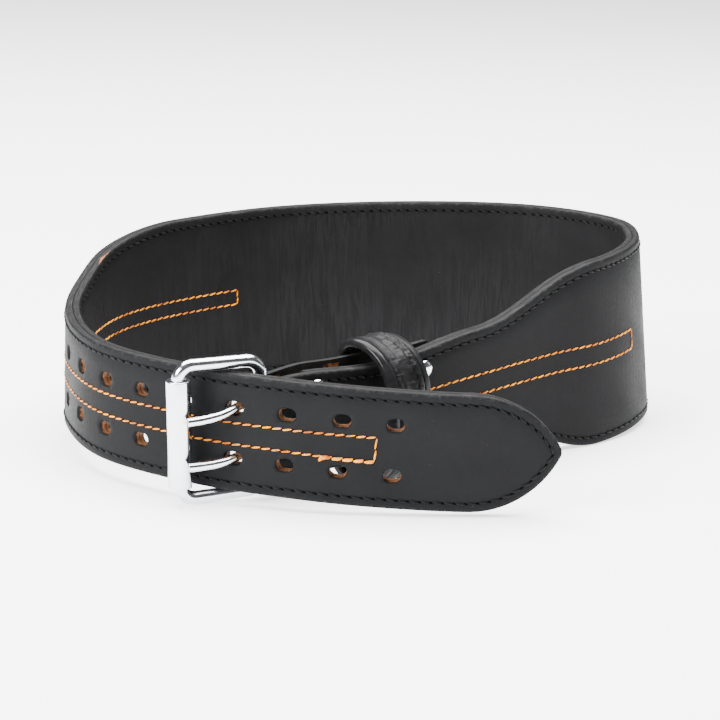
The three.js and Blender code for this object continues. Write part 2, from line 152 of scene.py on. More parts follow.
def path_through(name, points, leans):
    curve = bpy.data.curves.new(name, "CURVE")
    curve.dimensions = "3D"
    curve.twist_mode = "Z_UP"
    curve.resolution_u = 48
    curve.use_deform_bounds = False
    spline = curve.splines.new("BEZIER")
    spline.bezier_points.add(len(points) - 1)
    spline.tilt_interpolation = "CARDINAL"
    for i, point in enumerate(spline.bezier_points):
        before = points[i - 1] if i else 2 * points[0] - points[1]
        after = points[i + 1] if i + 1 < len(points) else 2 * points[-1] - points[-2]
        point.co = points[i]
        point.handle_left = points[i] - (after - before) / 6
        point.handle_right = points[i] + (after - before) / 6
        point.tilt = -leans[i]
    path = bpy.data.objects.new(name, curve)
    bpy.context.collection.objects.link(path)
    return path


def only(piece):
    bpy.ops.object.select_all(action="DESELECT")
    bpy.context.view_layer.objects.active = piece
    piece.select_set(True)


def apply_all(piece):
    only(piece)
    for modifier in list(piece.modifiers):
        bpy.ops.object.modifier_apply(modifier=modifier.name)


def follow(piece, path):
    course = piece.modifiers.new("course", "CURVE")
    course.object = path
    course.deform_axis = "POS_X"
    apply_all(piece)


def stand(piece):
    only(piece)
    piece.matrix_world = stands @ piece.matrix_world
    bpy.ops.object.transform_apply()


def wrap_round_waist(piece):
    only(piece)
    piece.matrix_world = Matrix.Rotation(math.pi / 2, 4, "X") @ piece.matrix_world
    bpy.ops.object.transform_apply()
    follow(piece, belt_course)


course_points = [strap_leaves_bar]
course_leans = [course_rows[0][3]]
for x, y, drop, lean in course_rows:
    course_points.append(Vector((x * loop_half_width, y * loop_half_depth, mid_height + drop * front_height)))
    course_leans.append(lean)
belt_course = path_through("belt_course", course_points, course_leans)
belt_length = belt_course.data.splines[0].calc_length()

# Leather of the belt.
# Vegetable-tanned hide, dyed black through its grain side only: satin with a fine grain, greyer where it
# is rubbed near the edges, and tan inside, which shows in the punched holes and on the fold's flesh side.
raw_tan = (0.25, 0.1, 0.036)
bend_grey = (0.05, 0.052, 0.06)
# Lighter grey painted on the raised creases as their sheen
crease_sheen_grey = (0.022, 0.022, 0.023)
rubbed_grey = (0.052, 0.051, 0.051)
dust_grey = (0.16, 0.155, 0.15)
# Near black painted into the stitch crease as its shade
stitch_groove_shade = (0.004, 0.004, 0.0042)
layer_black = (0.004, 0.004, 0.004)
seam_black = (0.002, 0.002, 0.002)
stitch_inset = 0.0046
bend_at = 0.745
seam_level = 2
deepest_crease = 0.0009
streak_depth = 0.00016


# Scales count a pattern's marks in a metre, and ramps turn a range of a pattern or a distance into a share
def maths(material, operation, first, second=0.0):
    return node(material, "Math", {0: first, 1: second}, operation=operation).outputs[0]


def times(material, product, *others):
    for other in others:
        product = maths(material, "MULTIPLY", product, other)
    return product


def mix(material, share, *colours):
    first, second = [(*colour, 1) if isinstance(colour, tuple) else colour for colour in colours]
    return node(material, "Mix", {0: share, 6: first, 7: second}, data_type="RGBA").outputs[2]


def ramp(material, value, low, high, bottom=0.0, top=1.0, easing="LINEAR"):
    inputs = {"Value": value, "From Min": low, "From Max": high, "To Min": bottom, "To Max": top}
    return node(material, "MapRange", inputs, interpolation_type=easing).outputs["Result"]


def soft_ramp(*settings):
    return ramp(*settings, easing="SMOOTHSTEP")


def blotches(material, place, scale, detail, rough=0.5, twist=0.0):
    inputs = {"Vector": place, "Scale": scale, "Detail": detail, "Roughness": rough, "Distortion": twist}
    return node(material, "TexNoise", inputs).outputs["Fac"]


def relief(material, height, distance=1.0, strength=1.0):
    inputs = {"Height": height, "Distance": distance, "Strength": strength}
    return node(material, "Bump", inputs).outputs["Normal"]


def anywhere(material, stretch=(1, 1, 1)):
    place = node(material, "TexCoord").outputs["Object"]
    return node(material, "Mapping", {"Vector": place, "Scale": stretch}).outputs["Vector"]


def flat_place(material, stretch=(1, 1, 1)):
    flat = node(material, "UVMap", uv_map="flat").outputs["UV"]
    return node(material, "Mapping", {"Vector": flat, "Scale": stretch}).outputs["Vector"]


def measured(material, name):
    return node(material, "Attribute", attribute_name=name).outputs["Fac"]


def black_leather(name, tone, shine, grain_depth, crease_depth, gloss,
                  creases_per_metre=420, crease_stretch=0.2):
    material = new_material(name, Specular_IOR_Level=gloss)
    flat = flat_place(material)
    rim = measured(material, "rim")
    polish = measured(material, "polish")

    cloud = blotches(material, flat, 38, 4)
    fine = blotches(material, flat, 520, 5, 0.6)
    cells = node(material, "TexVoronoi", {"Vector": flat, "Scale": 1050}, feature="SMOOTH_F1")
    pores = cells.outputs["Distance"]
    stretched = flat_place(material, (1, crease_stretch, 1))
    creases = blotches(material, stretched, creases_per_metre, 3, twist=0.9)
    crease_zone = soft_ramp(material, blotches(material, flat, 7, 2), 0.38, 0.62)
    crease = times(material, soft_ramp(material, creases, 0.36, 0.62), crease_zone)
    specks = soft_ramp(material, blotches(material, flat, 640, 2), 0.7, 0.78)
    dust = soft_ramp(material, blotches(material, flat, 61, 5, 0.7), 0.5, 0.75)
    rubbed = soft_ramp(material, blotches(material, flat, 430, 6, 0.8), 0.47, 0.62)
    rubbed = times(material, soft_ramp(material, rim, 0.0001, 0.0022, 1, 0), rubbed)

    along = node(material, "SeparateXYZ", {"Vector": flat}).outputs["X"]
    from_bend = maths(material, "ABSOLUTE", maths(material, "SUBTRACT", along, bend_at))
    upward = flat_place(material, (1, 0.04, 1))
    streak = soft_ramp(material, blotches(material, upward, 900, 4, 0.7), 0.42, 0.66)
    streak = times(material, streak, soft_ramp(material, from_bend, 0.003, 0.017, 1, 0))
    from_groove = maths(material, "ABSOLUTE", maths(material, "SUBTRACT", rim, stitch_inset))
    groove_shade = soft_ramp(material, from_groove, 0.0002, 0.001, 1, 0)

    dark = tuple(channel * 0.72 for channel in tone)
    pale = tuple(channel * 1.4 for channel in tone)
    colour = mix(material, cloud, dark, pale)
    colour = mix(material, times(material, streak, 0.5), colour, bend_grey)
    # Painted highlight: the raised crease ridges turn lighter grey, a sheen on top of the real wrinkles of
    # the bump
    colour = mix(material, times(material, crease, crease_depth / deepest_crease), colour, crease_sheen_grey)
    colour = mix(material, times(material, rubbed, 0.4), colour, rubbed_grey)
    colour = mix(material, times(material, specks, dust, 0.35), colour, dust_grey)
    # Painted shade: the stitch crease goes near black, for the shadow that falls in the groove
    colour = mix(material, times(material, groove_shade, 0.6), colour, stitch_groove_shade)

    rough = soft_ramp(material, cloud, 0.3, 0.7, shine - 0.05, shine + 0.06)
    rough = maths(material, "ADD", rough, times(material, rubbed, 0.14))
    rough = maths(material, "ADD", rough, soft_ramp(material, fine, 0.3, 0.7, -0.04, 0.05))
    rough = maths(material, "SUBTRACT", rough, times(material, polish, shine - 0.11))

    height = times(material, fine, grain_depth)
    for part, depth in ((pores, grain_depth * 0.6), (crease, crease_depth), (streak, -streak_depth)):
        height = maths(material, "ADD", height, times(material, part, depth))
    height = times(material, height, maths(material, "SUBTRACT", 1, times(material, polish, 0.9)))
    plug(material, Base_Color=colour, Roughness=rough, Normal=relief(material, height))
    return material


def cut_leather(name, tone, speckle, bared=(0, 0, 0), lengthwise=False):
    material = new_material(name, Specular_IOR_Level=0.2)
    place = flat_place(material, (0.16, 1, 1)) if lengthwise else anywhere(material)
    fibre = blotches(material, place, 900, 5, 0.7)
    layer = blotches(material, place, 170, 3)
    colour = mix(material, ramp(material, fibre, 0.46, 0.68), tone, speckle)
    if lengthwise:
        layers = blotches(material, flat_place(material, (0.03, 1, 1)), 1900, 3)
        colour = mix(material, ramp(material, layers, 0.5, 0.66), colour, layer_black)
        level = node(material, "SeparateXYZ", {"Vector": flat_place(material)}).outputs["Y"]
        from_seam = maths(material, "ABSOLUTE", maths(material, "SUBTRACT", level, seam_level))
        colour = mix(material, ramp(material, from_seam, 0.0002, 0.0008, 0.45, 0), colour, seam_black)
    torn = times(material, measured(material, "worn"), blotches(material, anywhere(material), 420, 4, 0.6))
    colour = mix(material, ramp(material, torn, 0.3, 0.4), colour, bared)
    rough = ramp(material, layer, 0, 1, 0.42, 0.8)
    plug(material, Base_Color=colour, Roughness=rough, Normal=relief(material, fibre, 0.0007, 0.9))
    return material


outer_grain = black_leather("leather_outer_grain", (0.0078, 0.008, 0.0085), 0.5, 0.00005, 0.00002, 0.035)
inner_grain = black_leather("leather_inner_grain", (0.0074, 0.0074, 0.0078), 0.55, 0.00006, 0.0002, 0.035,
                            creases_per_metre=330, crease_stretch=0.11)
cut_edge = cut_leather("leather_cut_edge", (0.005, 0.005, 0.0052), (0.034, 0.032, 0.032), raw_tan, True)
flesh_side = cut_leather("leather_flesh_side", (0.006, 0.0055, 0.0052), (0.02, 0.016, 0.013), raw_tan)
hole_wall = cut_leather("leather_hole_wall", (0.2, 0.085, 0.034), (0.1, 0.04, 0.016), (0.01, 0.007, 0.005))

# Inner ply.
# A strap of 3.85 mm leather, grain side in, 59 mm high at the front and 101.6 mm behind, tapering in smooth
# curves between and cut to a point at the tongue, with its rim rounded off and its stitch line creased in.
ply = 0.00385
seam_gap = 0.0003
strap_half = ply + seam_gap / 2
back_height = 0.1016
buckle_end_height = 0.051
fold_height = 0.05
fold_flare = 0.012
buckle_strap_length = 0.13
buckle_taper_length = 0.085
tongue_strap_length = 0.283
tongue_taper_length = 0.165
keeper_at = 0.069
tip_length = 0.046
inner_ply_start = 0.0225
column_step = 0.003
tip_columns = 22
middle_rows = 4
point_radius = 0.0056
side_share = 0.86
end_on = 0.9
hair = 0.00001

# Distance from the cut edge and depth of the surface there: the rounded rim, then the stitch crease
rim_rows = [
    (0, 0.0012), (0.00012, 0.00076), (0.00036, 0.00042), (0.00075, 0.00014), (0.00125, 0), (0.0024, 0),
    (0.0037, 0), (0.0042, 0.00016), (0.0046, 0.00024), (0.005, 0.00016), (0.0055, 0),
]


def smooth(value, start, end):
    share = min(max((value - start) / (end - start), 0), 1)
    return share * share * (3 - 2 * share)


def half_height(along):
    left = belt_length - along
    widened = smooth(along, buckle_strap_length, buckle_strap_length + buckle_taper_length)
    widened *= smooth(left, tongue_strap_length, tongue_strap_length + tongue_taper_length)
    narrowed = 1 - smooth(along, keeper_at, buckle_strap_length)
    height = front_height + (back_height - front_height) * widened
    height -= (front_height - buckle_end_height) * narrowed
    height -= (buckle_end_height - fold_height) * (1 - smooth(along, 0, fold_flare))
    return height / 2


tip_start = belt_length - tip_length
tip_half = front_height / 2
tip_radius = (tip_length ** 2 + tip_half ** 2) / (2 * tip_half)
tip_centre = tip_radius - tip_half
point_at = tip_start + math.sqrt((tip_radius - point_radius) ** 2 - tip_centre ** 2)
point_turn = math.asin((point_at - tip_start) / (tip_radius - point_radius))


# The side's arc up to side_share of the way, then the small arc of the point
def tip_spot(distance, share):
    radius = tip_radius - distance
    if distance < point_radius and share > side_share:
        turned = point_turn + (math.pi / 2 - point_turn) * (share - side_share) / (1 - side_share)
        left = point_radius - distance
        return point_at + left * math.sin(turned), left * math.cos(turned)
    if distance < point_radius:
        turned = point_turn * share / side_share
    else:
        turned = share * math.acos(min(tip_centre / radius, 1))
    return tip_start + radius * math.sin(turned), radius * math.cos(turned) - tip_centre


def rim_distance(along, up):
    if along <= tip_start:
        return half_height(along) - abs(up)
    return tip_radius - math.hypot(along - tip_start, abs(up) + tip_centre)


def cut_strip(name, start, shape_column, shape_spot):
    columns = math.ceil((tip_start - start) / column_step)
    rows = 2 * (len(rim_rows) - 1 + middle_rows)
    bpy.ops.mesh.primitive_grid_add(x_subdivisions=columns + tip_columns, y_subdivisions=rows, size=2)
    piece = bpy.context.object
    piece.name = name
    bpy.ops.object.mode_set(mode="EDIT")
    bpy.ops.mesh.select_all(action="SELECT")
    bpy.ops.mesh.extrude_region_move(TRANSFORM_OT_translate={"value": (0, 0, 1)})
    bpy.ops.mesh.select_all(action="SELECT")
    bpy.ops.mesh.normals_make_consistent(inside=False)
    bpy.ops.mesh.select_all(action="DESELECT")
    bpy.ops.object.mode_set(mode="OBJECT")
    for face in piece.data.polygons:
        face.select = face.normal.x > end_on
    bpy.ops.object.mode_set(mode="EDIT")
    bpy.ops.mesh.delete(type="FACE")
    bpy.ops.object.mode_set(mode="OBJECT")
    middle = rows / 2
    for v in piece.data.vertices:
        column = round((v.co.x + 1) / 2 * (columns + tip_columns))
        row = round((v.co.y + 1) / 2 * rows) - middle
        from_edge = middle - abs(row)
        side = 1 if row > 0 else -1
        along = start + (tip_start - start) * min(column / columns, 1)
        half = shape_column(along)
        if from_edge < len(rim_rows):
            distance, depth = rim_rows[int(from_edge)]
        else:
            inmost = rim_rows[-1][0]
            distance = half - (half - inmost) * abs(row) / middle_rows
            depth = 0
        up = half - distance
        if column > columns:
            along, up = tip_spot(distance, (column - columns) / tip_columns)
        v.co = shape_spot(along, side * up, v.co.z > 0.5, depth)
    only(piece)
    bpy.ops.object.mode_set(mode="EDIT")
    bpy.ops.mesh.select_all(action="SELECT")
    bpy.ops.mesh.remove_doubles(threshold=hair)
    bpy.ops.mesh.normals_make_consistent(inside=False)
    bpy.ops.object.mode_set(mode="OBJECT")
    return piece


def flat_ply(along, up, grain, depth):
    return Vector((along, up, strap_half - depth if grain else seam_gap / 2))


inner_leather = cut_strip("inner_leather", inner_ply_start, half_height, flat_ply)
inner_leather.rotation_euler.x = math.pi
bpy.ops.object.transform_apply()

# Outer ply with its folded end.
# The strap that shows, grain side out. Its buckle end is skived, wraps the buckle's bar, slotted for the
# prongs, and comes back along the inside as a 104 mm tab that two pairs of rivets hold.
clearance = 0.00035
bar_radius = 0.00335
fold_radius = bar_radius + clearance + ply / 2
bar_inside = bar_radius + clearance - seam_gap / 2
fold_length = math.pi * fold_radius
tab_length = 0.104
tab_height = 0.057
tab_bow = 0.005
tab_corner = 0.0016
tab_corner_length = 0.002
fold_rim = 0.002
rivet_from_bar = 0.027
rivet_near_end = tab_length - 0.011
tab_clamped = strap_half + clearance + ply / 2
tab_at_bar = bar_inside + fold_radius


def tab_offset(along):
    eased = (tab_at_bar - tab_clamped) * (1 - smooth(along, 0, rivet_from_bar))
    share = min(max((along - rivet_from_bar) / (rivet_near_end - rivet_from_bar), 0), 1)
    return tab_clamped + eased + tab_bow * math.sin(math.pi * share) ** 2


def folded_half(along):
    if along >= 0:
        return half_height(along)
    on_tab = max(-along - fold_length, 0)
    corner = tab_corner * smooth(on_tab, tab_length - tab_corner_length, tab_length)
    return (fold_height + (tab_height - fold_height) * smooth(on_tab, 0, rivet_from_bar)) / 2 - corner


def folded_ply(along, up, grain, depth):
    creased = depth if along > 0 or folded_half(along) - abs(up) < fold_rim else 0
    out = ply / 2 - creased if grain else -ply / 2
    if along >= 0:
        return Vector((along, up, (ply + seam_gap) / 2 + out))
    if along > -fold_length:
        turn = -along / fold_radius
        radius = fold_radius + out
        return Vector((-radius * math.sin(turn), up, radius * math.cos(turn) - bar_inside))
    on_tab = -along - fold_length
    return Vector((on_tab, up, -tab_offset(on_tab) - out))


outer_leather = cut_strip("outer_leather", -tab_length - fold_length, folded_half, folded_ply)

# Holes.
# Nine pairs of oblong holes are punched through both plies, two more slots let the prongs through the fold.
# The punch rounds the rim of each hole and bares tan leather inside it.
hole_columns = 9
hole_pitch = 0.026
row_up = 0.0127
hole_length = 0.0095
hole_height = 0.0075
tip_to_hole = 0.082
bend_stretch = 0.0015
bend_column = 4
hole_lip = 0.0009
slot_size = (0.027, 0.006, 0.034)
slot_corner = 0.0026
slot_at = (-0.0015, -0.003)


def pick_faces(piece, wanted):
    only(piece)
    bpy.ops.object.mode_set(mode="EDIT")
    bpy.ops.mesh.select_all(action="DESELECT")
    bpy.ops.object.mode_set(mode="OBJECT")
    for face in piece.data.polygons:
        face.select = wanted(face)
    bpy.ops.object.mode_set(mode="EDIT")
    bpy.ops.mesh.select_mode(type="FACE")


def round_edges(piece, width, segments):
    rounded = piece.modifiers.new("rounded", "BEVEL")
    rounded.width = width
    rounded.segments = segments
    apply_all(piece)


def widen_end(piece, top):
    for lift, grow in ((0.4, 0.2), (0.35, 0.35), (0.6, 0.65)):
        end = max(face.center.z * top for face in piece.data.polygons) - hair
        pick_faces(piece, lambda face: face.center.z * top > end)
        bpy.ops.mesh.extrude_region_move(TRANSFORM_OT_translate={"value": (0, 0, lift * hole_lip * top)})
        wider = 1 + grow * hole_lip / (hole_height / 2)
        bpy.ops.transform.resize(value=(wider, wider, 1))
        bpy.ops.object.mode_set(mode="OBJECT")


bpy.ops.object.select_all(action="DESELECT")
bpy.ops.mesh.primitive_cylinder_add(vertices=32, radius=hole_height / 2 - hole_lip / 2,
                                    depth=2 * (strap_half - hole_lip))
hole_punch = bpy.context.object
for v in hole_punch.data.vertices:
    if abs(v.co.x) > hair:
        v.co.x += math.copysign((hole_length - hole_height) / 2, v.co.x)
widen_end(hole_punch, 1)
widen_end(hole_punch, -1)


def copies_joined(name, piece, places):
    made = []
    for place in places:
        twin = piece.copy()
        twin.data = piece.data.copy()
        bpy.context.collection.objects.link(twin)
        twin.matrix_world = place
        made.append(twin)
    bpy.ops.object.select_all(action="DESELECT")
    for twin in made:
        twin.select_set(True)
    bpy.context.view_layer.objects.active = made[0]
    bpy.ops.object.join()
    made[0].name = name
    bpy.ops.object.transform_apply()
    bpy.data.objects.remove(piece)
    return made[0]


hole_places = []
for column in range(hole_columns):
    for side in (-1, 1):
        from_tip = tip_to_hole + column * hole_pitch + (bend_stretch if column >= bend_column else 0)
        hole_places.append(Matrix.Translation((belt_length - from_tip, side * row_up, 0)))
punches = copies_joined("punches", hole_punch, hole_places)

bpy.ops.object.select_all(action="DESELECT")
bpy.ops.mesh.primitive_cube_add(size=1)
slot_punch = bpy.context.object
slot_punch.scale = slot_size
bpy.ops.object.transform_apply()
round_edges(slot_punch, slot_corner, 5)
slot_places = [Matrix.Translation((slot_at[0], side * row_up, slot_at[1])) for side in (-1, 1)]
slot_punches = copies_joined("slot_punches", slot_punch, slot_places)


def cut(piece, cutter):
    punched = piece.modifiers.new("cut", "BOOLEAN")
    punched.operation = "DIFFERENCE"
    punched.solver = "EXACT"
    punched.object = cutter
    apply_all(piece)


for leather in (inner_leather, outer_leather):
    cut(leather, punches)
cut(outer_leather, slot_punches)
for punch in (punches, slot_punches):
    bpy.data.objects.remove(punch)

# Where the leather is bared, as a place along the belt and a reach, and how strongly
bared_spots = ((0.0405, 0.013), (0.009, 0.008))
rim_scuff = (0.6755, 0.019)
bared_most = 0.95
rim_zone = 0.003
unrubbed = 0.01
joint_play = 0.0001
grain_finish, edge_finish, hole_finish, flesh_finish = range(4)


def near(value, spot):
    return 1 - smooth(abs(value - spot[0]), 0, spot[1])


# Each face gets its finish, and each spot of the surface its flat place, its distance from the rim and how
# far it is worn
def finish_ply(piece, grain, grain_side):
    mesh = piece.data
    mesh.materials.clear()
    for material in (grain, cut_edge, hole_wall, flesh_side):
        mesh.materials.append(material)
    flat = mesh.uv_layers.new(name="flat")
    rim = mesh.attributes.new("rim", "FLOAT", "POINT")
    worn = mesh.attributes.new("worn", "FLOAT", "POINT")
    for v in mesh.vertices:
        out = v.co.z * grain_side
        on_tab = out < -tab_clamped / 2 or v.co.x < 0
        from_rim = rim_distance(v.co.x, v.co.y)
        rim.data[v.index].value = unrubbed if on_tab else from_rim
        if on_tab:
            from_end = folded_half(-max(v.co.x, 0) - fold_length) - abs(v.co.y)
            bared = bared_most * max(near(v.co.x, spot) for spot in bared_spots)
            bared *= smooth(from_end, 0.0008, 0.0022)
        elif from_rim < rim_zone:
            scuffed = v.co.y > 0 and grain_side < 0 and out > 0.6 * strap_half
            bared = bared_most * near(v.co.x, rim_scuff) if scuffed else 0
        else:
            bared = smooth(out, 0.1 * strap_half, 0.75 * strap_half)
        worn.data[v.index].value = bared
    for face in mesh.polygons:
        middle = face.center
        out = middle.z * grain_side
        upright = abs(face.normal.z) < 0.35 and middle.x > 0.001
        on_rim = upright and rim_distance(middle.x, middle.y) < rim_zone
        for loop in face.loop_indices:
            spot = mesh.vertices[mesh.loops[loop].vertex_index].co
            up = spot.z + seam_level if on_rim else spot.y + (1 if out < -tab_clamped / 2 else 0)
            flat.data[loop].uv = (spot.x, up)
        joint_side = abs(abs(middle.z) - seam_gap / 2) < joint_play
        inward = face.normal.z * grain_side > 0.3 and out < -tab_clamped / 2
        in_fold = middle.x < 0.0005 and math.hypot(middle.x, out + bar_inside) < fold_radius
        face.material_index = grain_finish
        if joint_side:
            face.material_index = edge_finish
        elif inward or in_fold:
            face.material_index = flesh_finish
        elif upright:
            in_row = abs(abs(middle.y) - row_up) < hole_height / 2 + 0.0004
            on_tab_end = out < -tab_clamped / 2 and middle.x > rivet_from_bar
            in_hole = in_row and not on_rim and not on_tab_end
            face.material_index = hole_finish if in_hole else edge_finish


finish_ply(inner_leather, inner_grain, -1)
finish_ply(outer_leather, outer_grain, 1)
for leather, hidden in ((inner_leather, "inner_ply"), (outer_leather, "outer_ply")):
    wrap_round_waist(leather)
    stand(leather)
    bpy.ops.object.shade_smooth_by_angle(angle=math.radians(38))
    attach(leather, "root")
    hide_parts(hidden)

# Black edge stitching.
# A lockstitch of waxed black thread runs in the crease along both edges and round the point, on the
# outside and the inside alike, and holds the two plies together.
edge_pitch = 0.0055
edge_stitch_length = 0.0046
edge_thread = 0.0013
edge_slant = -0.2
edge_dent_slant = -0.6
point_stops = 8
awl_length = 0.002
awl_width = 0.0014
awl_depth = 0.0002
awl_flatness = 0.2
thread_fullness = 0.8
seam_step = 0.008


def thread_material(name, tone, recess_shade_tone, roughness, gloss):
    material = new_material(name, Specular_IOR_Level=gloss, Roughness=roughness)
    plies = blotches(material, anywhere(material), 1500, 3)
    shade = blotches(material, anywhere(material), 90, 2)
    # The colour goes to the darker tone in the low places of the strands' bump, a painted shade between the
    # twisted strands, and in random patches of the thread's own tone
    colour = mix(material, ramp(material, times(material, plies, shade), 0.15, 0.35), recess_shade_tone, tone)
    plug(material, Base_Color=colour, Normal=relief(material, plies, 0.0003, 0.9))
    return material


def stitch(length, thickness, slant):
    bpy.ops.object.select_all(action="DESELECT")
    bpy.ops.mesh.primitive_uv_sphere_add(segments=8, ring_count=5, radius=0.5, rotation=(0, math.pi / 2, 0))
    piece = bpy.context.object
    bpy.ops.object.transform_apply()
    for v in piece.data.vertices:
        fuller = math.copysign(abs(v.co.x * 2) ** thread_fullness / 2, v.co.x)
        v.co = Vector((fuller * length, v.co.y * thickness + fuller * length * slant, v.co.z * thickness))
    return piece


# Each awl hole is drawn as a flat dark lens barely sunk into the surface, a painted shade for the dark inside
# of the hole
def awl_dent(slant):
    piece = stitch(awl_length, awl_width, slant)
    piece.scale.z = awl_flatness
    bpy.ops.object.transform_apply()
    return piece


def stitch_row(name, piece, pitch, count, start):
    row = piece.modifiers.new("row", "ARRAY")
    row.use_relative_offset = False
    row.use_constant_offset = True
    row.constant_offset_displace = (pitch, 0, 0)
    row.count = count
    apply_all(piece)
    piece.location.x = start + pitch / 2
    bpy.ops.object.transform_apply()
    piece.name = name
    return piece


def lay_thread(piece, material):
    wrap_round_waist(piece)
    stand(piece)
    bpy.ops.object.shade_smooth()
    piece.data.materials.append(material)
    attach(piece, "root")


def sew(piece, material, lift, inside):
    piece.location.z = strap_half + lift
    bpy.ops.object.transform_apply()
    if inside:
        piece.rotation_euler.x = math.pi
        bpy.ops.object.transform_apply()
    lay_thread(piece, material)


black_thread = thread_material("thread_black", (0.0055, 0.0055, 0.006), (0.001, 0.001, 0.001), 0.5, 0.1)
# Painted shade: near black for the inside of the edge stitches' awl holes
awl_shade_black = thread_material("awl_hole_shade_black", (0.0012, 0.001, 0.001), (0.0006, 0.0005, 0.0005), 0.9, 0.02)
edge_spots = []
steps = int((tip_start - inner_ply_start) / seam_step)
for i in range(steps + 1):
    along = inner_ply_start + (tip_start - inner_ply_start) * i / steps
    edge_spots.append((along, half_height(along) - stitch_inset))
for i in range(1, point_stops):
    edge_spots.append(tip_spot(stitch_inset, side_share * i / point_stops))
edge_line = [Vector((x, y, 0)) for x, y in edge_spots]
edge_line += [Vector((*tip_spot(stitch_inset, 1), 0))]
edge_line += [Vector((x, -y, 0)) for x, y in reversed(edge_spots)]
edge_path = path_through("edge_path", edge_line, [0] * len(edge_line))
edge_count = int(edge_path.data.splines[0].calc_length() / edge_pitch)
for name, inside in (("edge_stitching_outer", False), ("edge_stitching_inner", True)):
    edge_stitching = stitch(edge_stitch_length, edge_thread, edge_slant)
    stitch_row(name, edge_stitching, edge_pitch, edge_count, 0)
    follow(edge_stitching, edge_path)
    sew(edge_stitching, black_thread, 0, inside)
    edge_dents = awl_dent(edge_dent_slant)
    stitch_row(name + "_hole_shades", edge_dents, edge_pitch, edge_count, edge_pitch / 2)
    follow(edge_dents, edge_path)
    sew(edge_dents, awl_shade_black, -awl_depth, inside)
bpy.data.objects.remove(edge_path)

# Orange double stitching.
# Two long rows of thick waxed thread, closed by a square end, sew the plies together along the middle:
# one from the tongue round the wearer's right side, one from the buckle along the left.
row_pitch = 0.005
row_stitch_length = 0.0046
row_thread = 0.00095
row_slant = 0.18
row_dent_slant = 0.3
row_end_slant = -0.1
row_end_share = 0.94
row_lift = 0.0001
tongue_row_end = belt_length - 0.091
tongue_row_start = 0.566
buckle_row_start = 0.02
buckle_row_end = 0.25


# Half the distance between the two rows: a little wider at the tongue, closer along the back
def row_gap(along):
    closer = (1 - smooth(along, 0.66, 0.8)) * smooth(along, 0.3, 0.5)
    return 0.0054 + 0.0006 * smooth(along, 0.9, 0.96) - 0.0012 * closer


def joined(name, parts):
    only(parts[0])
    for part in parts:
        part.select_set(True)
    bpy.ops.object.join()
    parts[0].name = name
    bpy.ops.object.transform_apply()
    return parts[0]


def double_row(name, start, end, inside):
    count = round((end - start) / row_pitch)
    pitch = (end - start) / count
    stitches = []
    dents = []
    for side in (-1, 1):
        for group, part, shift in ((stitches, stitch(row_stitch_length, row_thread, row_slant), 0),
                                   (dents, awl_dent(row_dent_slant), -pitch / 2)):
            stitch_row(name, part, pitch, count, start + shift)
            for v in part.data.vertices:
                v.co.y += side * row_gap(v.co.x)
            group.append(part)
        for square_at in (start, end):
            part = stitch(row_gap(square_at) * row_end_share, row_thread, row_end_slant)
            part.rotation_euler.z = math.pi / 2
            part.location = (square_at, side * row_gap(square_at) / 2, 0)
            stitches.append(part)
    sew(joined(name, stitches), orange_thread, row_lift, inside)
    sew(joined(name + "_hole_shades", dents), awl_shade_brown, 0, inside)


orange_thread = thread_material("thread_orange", (0.98, 0.38, 0.015), (0.3, 0.055, 0.002), 0.5, 0.2)
# Painted shade: dark brown for the inside of the orange rows' awl holes
awl_shade_brown = thread_material("awl_hole_shade_brown", (0.02, 0.004, 0.001), (0.003, 0.001, 0.0005), 0.8, 0.05)
for suffix, inside in (("outer", False), ("inner", True)):
    double_row("tongue_stitching_" + suffix, tongue_row_start, tongue_row_end, inside)
    double_row("buckle_stitching_" + suffix, buckle_row_start, buckle_row_end, inside)

# Back-stitching.
# The maker finished the tongue's double row by sewing back over the last stitches of its lower line, so they
# lie thicker there and end in a small melted knot.
back_stitches = 5
back_pitch = row_pitch * 1.04
back_stitch_length = 0.0049
back_thread = 0.0017
back_slant = 0.1
back_shift = 0.0003
back_lift = 0.0004
knot_at = tongue_row_end - 0.0242
back_sewn = stitch(back_stitch_length, back_thread, back_slant)
stitch_row("back_sewn", back_sewn, back_pitch, back_stitches, tongue_row_end - back_stitches * back_pitch)
for v in back_sewn.data.vertices:
    v.co.y -= row_gap(v.co.x) + back_shift
knot_parts = [back_sewn]

# Place from the knot along and across, length, thickness and turn
knot_rows = [(0, -0.0002, 0.0048, 0.0019, 0.1), (-0.0011, -0.0009, 0.0038, 0.0019, 0.7),
             (-0.0004, -0.0009, 0.0036, 0.0016, 0.3)]
for x, y, length, thick, turned in knot_rows:
    lump = stitch(length, thick, back_slant)
    lump.rotation_euler.z = turned
    lump.location = (knot_at + x, y - row_gap(knot_at), 0)
    bpy.ops.object.transform_apply()
    knot_parts.append(lump)
sew(joined("tongue_back_stitching", knot_parts), orange_thread, back_lift, False)

# Buckle frame.
# A 6.7 mm chromed steel wire bent to a rounded rectangle and welded shut, a little narrower at the bar.
wire_radius = bar_radius
frame_length = 0.0418
frame_corner = 0.0075
frame_half = 0.03395
bar_half = 0.03325
frame_lean = math.radians(180 + 21)
clear_chrome = (0.84, 0.86, 0.89)
hazy_chrome = (0.64, 0.67, 0.72)
bar_at = Vector((-0.050411, -0.12459, mid_height))
bar_space = Matrix.Translation(bar_at) @ Matrix.Rotation(frame_lean, 4, "Z")


def chrome(name, rough):
    material = new_material(name, Metallic=1.0)
    haze = blotches(material, anywhere(material), 130, 4, 0.65)
    lines = blotches(material, anywhere(material, (1, 1, 0.12)), 900, 2)
    plug(material, Base_Color=mix(material, haze, clear_chrome, hazy_chrome),
         Roughness=ramp(material, haze, 0.35, 0.7, rough, rough + 0.1),
         Normal=relief(material, lines, 0.00003, 0.35))
    return material


